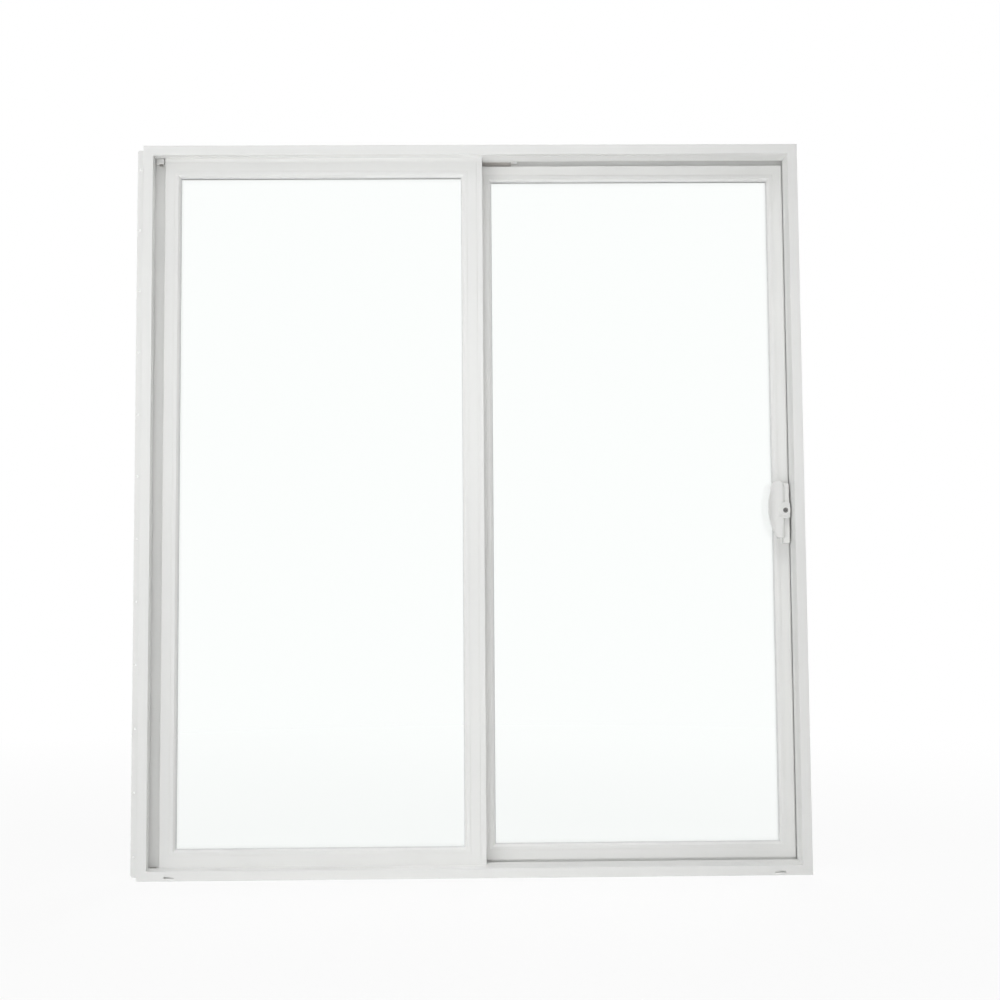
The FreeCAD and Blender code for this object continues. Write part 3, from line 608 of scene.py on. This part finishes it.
def makeDustPlugs(settings, tree):
    # The recess beside the fixed panel runs from the jamb's leg to the panel's stile
    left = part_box("left_jamb")[1].x + settings["recessInset"]
    right = left + settings["carrierWidth"]
    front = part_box("fixed_jamb_stile")[0].y + settings["setback"]
    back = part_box("head_filler")[1].y
    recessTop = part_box("head")[0].z
    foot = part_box("sill_cover")[0].z
    padLeft = left + settings["padInset"]
    padRight = padLeft + settings["padWidth"]
    bevel, pitch = settings["bevel"], settings["pitch"]
    carriers = bmesh.new()
    drop = recessTop - settings["carrierHeight"]
    addBlock(carriers, (left, front, drop), (right, back, recessTop), bevel)
    points = padPoints((padLeft, front, drop), (padRight, back, drop), (0, 0, -1), pitch)
    rise = foot + settings["footHeight"]
    addBlock(carriers, (left, front, foot), (right, back, rise), bevel)
    points += padPoints((left, front, rise), (padRight, back, rise), (0, 0, 1), pitch)
    coverLow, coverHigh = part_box("head_cover")
    headLeft = coverLow.x + settings["headInset"]
    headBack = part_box("lock_faceplate")[0].y - settings["panelGap"]
    soffit = coverLow.z - settings["headHeight"]
    addBlock(carriers, (headLeft, coverHigh.y, soffit),
             (headLeft + settings["headLength"], headBack, coverLow.z), bevel)
    headPoints = padPoints((headLeft, coverHigh.y + settings["headPileInset"], soffit),
                           (headLeft + settings["headPile"], headBack, soffit), (0, 0, -1), pitch)
    showPiece("plugCarriers", meshFrom("plugCarriers", carriers), "frame", vinylUpright)
    for name, seeds, reach in (("recessPile", points, pileSet["Bristle Length"]),
                               ("headPile", headPoints, settings["headReach"])):
        values = dict(pileSet, Material=finish["pile"])
        values["Bristle Length"] = reach
        showPiece(name, grownMesh(name, seedMesh(name, seeds), tree, values), "frame")


def makeFinSeal(settings, tree):
    # A backing strip, a stiff film down its middle and pile on both sides of it
    low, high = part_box("right_jamb_cover")
    left = low.x + settings["inset"]
    right = left + settings["width"]
    middle = (left + right) / 2
    foot = low.z + settings["endGap"]
    top = high.z - settings["endGap"]
    strip = bmesh.new()
    backing, film, bevel = settings["backing"], settings["film"], settings["bevel"]
    addBlock(strip, (left, high.y, foot), (right, high.y + backing, top), bevel)
    addBlock(strip, (middle - film, high.y + backing * settings["filmFoot"], foot),
             (middle + film, high.y + settings["reach"], top), bevel)
    showPiece("finSealStrip", meshFrom("finSealStrip", strip), "frame", finish["finSeal"])
    base = high.y + backing * settings["pileFoot"]
    points = padPoints((left, base, foot), (right, base, top), (0, 1, 0), settings["pitch"])
    values = dict(sealSet, Material=finish["finSeal"])
    showPiece("finSealPile", grownMesh("finSealPile", seedMesh("finSealPile", points), tree, values),
              "frame")


densePile = pileTree(pileShape)
makeDustPlugs(plugSet, densePile)
makeFinSeal(sealPlaces, densePile)
print("dust plugs and seal set")


# Metal rim round the key plug, dark with the lock metal's painted shade
rimSet = {
    "innerRadius": 0.0057,
    "outerRadius": 0.0070,
    "height": 0.0006,
    "round": 0.0002,
    "sides": 64,
}


def makeKeyRim(settings):
    low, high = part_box("key_plug")
    centre = ((low.x + high.x) / 2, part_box("outdoor_handle")[0].y, (low.z + high.z) / 2)
    inner, outer = settings["innerRadius"], settings["outerRadius"]
    height, edge = settings["height"], settings["round"]
    section = [(inner, -edge), (outer, -edge), (outer, height - edge), (outer - edge, height),
               (inner + edge, height), (inner, height - edge), (inner, -edge)]
    shape = bmesh.new()
    addTurned(shape, section, centre, (0, -1, 0), settings["sides"])
    showPiece("keyRim", meshFrom("keyRim", shape, smooth=True), "sliding_panel",
              finish["lockMetalPaintedShade"])


makeKeyRim(rimSet)


# Snap-in caps over the roller adjusting screws, on the indoor face of the bottom rail
capSet = {
    "radius": 0.0065,
    "proud": 0.0012,
    "sunk": 0.0004,
    "dish": 0.0005,
    "wall": 0.6,         # the straight side, as a share of how far the cap stands out
    "edge": 0.9,         # where the flat face starts, as shares of the radius
    "dishRim": 0.55,
    "dishFloor": 0.4,
    "fromEnd": 0.024,
    "height": 0.046,
    "sides": 40,
}


def makeAdjusterCaps(settings):
    low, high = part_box("roller_housings")
    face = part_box("sliding_bottom_rail")[1].y
    radius, sunk = settings["radius"], settings["sunk"]
    proud = settings["proud"]
    floor = proud - settings["dish"]
    section = [(0, -sunk), (radius, -sunk), (radius, proud * settings["wall"]),
               (radius * settings["edge"], proud), (radius * settings["dishRim"], proud),
               (radius * settings["dishFloor"], floor), (0, floor)]
    shape = bmesh.new()
    for x in (low.x + settings["fromEnd"], high.x - settings["fromEnd"]):
        addTurned(shape, section, (x, face, settings["height"]), (0, 1, 0), settings["sides"])
    showPiece("adjusterCaps", meshFrom("adjusterCaps", shape), "sliding_panel", vinylAcross)


makeAdjusterCaps(capSet)


# Hinged flaps in the weep slots of the sill's front
flapSet = {
    "fromEnd": 0.102,
    "halfWidth": 0.0135,
    "top": 0.0117,
    "foot": 0.0079,
    "setback": 0.0022,
    "thickness": 0.0008,
    "bevel": 0.0002,
}


def makeWeepFlaps(settings):
    low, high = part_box("sill")
    front = outFace + settings["setback"]
    shape = bmesh.new()
    for middle in (low.x + settings["fromEnd"], high.x - settings["fromEnd"]):
        addBlock(shape, (middle - settings["halfWidth"], front, settings["foot"]),
                 (middle + settings["halfWidth"], front + settings["thickness"], settings["top"]),
                 settings["bevel"])
    showPiece("weepFlaps", meshFrom("weepFlaps", shape), "frame", vinylAcross)


makeWeepFlaps(flapSet)
print("small trim set")


# Floor, backdrop and light
stageSet = {
    "floorReach": 14.0,
    "floorColour": (0.93, 0.93, 0.925, 1),
    "floorShade": (0.91, 0.91, 0.905, 1),
    "paperScale": 5.0,
    "roughness": 0.9,
    "specular": 0.1,
    "whiteShare": 0.90,
    "fadeStart": 1.2,
    "fadeEnd": 4.5,
}


def seenWhite(tree):
    # 1 for what the camera sees directly, in a reflection or through glass
    path = addNode(tree, "ShaderNodeLightPath").outputs
    direct = maths(tree, "MAXIMUM", path["Is Camera Ray"], path["Is Glossy Ray"])
    return maths(tree, "MAXIMUM", direct, path["Is Transmission Ray"])


def makeFloor(settings):
    mesh = bpy.data.meshes.new("floor")
    reach = settings["floorReach"]
    corners = [(-reach, -reach, 0), (reach, -reach, 0), (reach, reach, 0), (-reach, reach, 0)]
    mesh.from_pydata(corners, [], [(0, 1, 2, 3)])
    floor = bpy.data.objects.new("floor", mesh)
    scene.collection.objects.link(floor)
    material, tree, shader = newMaterial("floorPaper")
    shader.inputs["Roughness"].default_value = settings["roughness"]
    shader.inputs["Specular IOR Level"].default_value = settings["specular"]
    paper = noise(tree, stretchedCoordinates(tree, (1, 1, 1)), settings["paperScale"])
    colour = colourMix(tree, paper, settings["floorColour"], settings["floorShade"])
    tree.links.new(colour, shader.inputs["Base Color"])
    coordinates = addNode(tree, "ShaderNodeTexCoord")
    far = addNode(tree, "ShaderNodeVectorMath", {"operation": "LENGTH"})
    tree.links.new(coordinates.outputs["Object"], far.inputs[0])
    fade = addNode(tree, "ShaderNodeMapRange", Value=far.outputs["Value"], From_Min=settings["fadeStart"],
                   From_Max=settings["fadeEnd"], To_Min=settings["whiteShare"], To_Max=1.0)
    share = maths(tree, "MULTIPLY", fade.outputs["Result"], seenWhite(tree))
    white = addNode(tree, "ShaderNodeEmission")
    mix = addNode(tree, "ShaderNodeMixShader")
    tree.links.new(share, mix.inputs[0])
    tree.links.new(shader.outputs["BSDF"], mix.inputs[1])
    tree.links.new(white.outputs["Emission"], mix.inputs[2])
    tree.links.new(mix.outputs["Shader"], tree.nodes["Material Output"].inputs["Surface"])
    mesh.materials.append(material)


# Soft lamps round the door; headLamp and sillLamp are narrow, for the faces inside the head and sill
lightSet = {
    "worldStrength": 0.22,
    "worldColour": (0.985, 0.99, 1.0, 1),
    "lamps": [
        {"name": "leftLamp", "place": (-3.9, -3.9, 1.2), "aim": (0, 0, 1), "size": (2.4, 2.4),
         "watts": 68, "colour": (0.99, 0.995, 1)},
        {"name": "sideLamp", "place": (-5.2, -1.9, 1.0), "aim": (0, 0, 1), "size": (2.4, 2.4),
         "watts": 38, "colour": (0.99, 0.995, 1)},
        {"name": "rightLamp", "place": (5.2, -1.9, 1.0), "aim": (0, 0, 1), "size": (2.4, 2.4),
         "watts": 21, "colour": (1, 0.995, 0.985)},
        {"name": "highLamp", "place": (0, -2.4, 5.0), "aim": (0, -0.3, 0), "size": (3.0, 3.0),
         "watts": 57, "colour": (1, 1, 1)},
        {"name": "lowLamp", "place": (0, -1.6, 0.06), "aim": (0, 0, 1.9), "size": (2.2, 2.2),
         "watts": 16, "colour": (1, 1, 1)},
        {"name": "headLamp", "place": (0.1, -1.2, 0.05), "aim": (0.1, -0.02, 1.99), "size": (1.9, 0.4),
         "spread": 50, "watts": 1.9, "colour": (1, 1, 1)},
        {"name": "sillLamp", "place": (0.1, -0.9, 2.7), "aim": (0.1, -0.02, 0.03), "size": (1.9, 0.4),
         "spread": 40, "watts": 1.3, "colour": (1, 1, 1)},
        {"name": "backLamp", "place": (1.5, 5.5, 2.4), "aim": (0, 0, 1), "size": (3.0, 3.0),
         "watts": 150, "colour": (1, 1, 1)},
        {"name": "rearSideLamp", "place": (5.0, 1.6, 1.4), "aim": (0.9, 0, 1), "size": (2.4, 2.4),
         "watts": 36, "colour": (1, 1, 1)},
    ],
}


def makeWorld(settings):
    world = bpy.data.worlds.new("softStudio")
    world.use_nodes = True
    scene.world = world
    tree = world.node_tree
    lit = tree.nodes["Background"]
    lit.inputs["Color"].default_value = settings["worldColour"]
    lit.inputs["Strength"].default_value = settings["worldStrength"]
    white = addNode(tree, "ShaderNodeBackground", Color=(1, 1, 1, 1), Strength=1.0)
    mix = addNode(tree, "ShaderNodeMixShader")
    tree.links.new(seenWhite(tree), mix.inputs[0])
    tree.links.new(lit.outputs["Background"], mix.inputs[1])
    tree.links.new(white.outputs["Background"], mix.inputs[2])
    tree.links.new(mix.outputs["Shader"], tree.nodes["World Output"].inputs["Surface"])


def makeLamp(settings):
    data = bpy.data.lights.new(settings["name"], "AREA")
    data.shape = "RECTANGLE"
    data.size, data.size_y = settings["size"]
    data.spread = math.radians(settings.get("spread", 180))
    data.energy = settings["watts"]
    data.color = settings["colour"][:3]
    lamp = bpy.data.objects.new(settings["name"], data)
    lamp.location = settings["place"]
    aim = Vector(settings["aim"]) - Vector(settings["place"])
    lamp.rotation_euler = aim.to_track_quat("-Z", "Y").to_euler()
    lamp.visible_camera = False
    lamp.visible_glossy = False
    lamp.visible_transmission = False
    scene.collection.objects.link(lamp)


makeFloor(stageSet)
makeWorld(lightSet)
for lamp in lightSet["lamps"]:
    makeLamp(lamp)
print("stage and lights placed")


print("scene set")
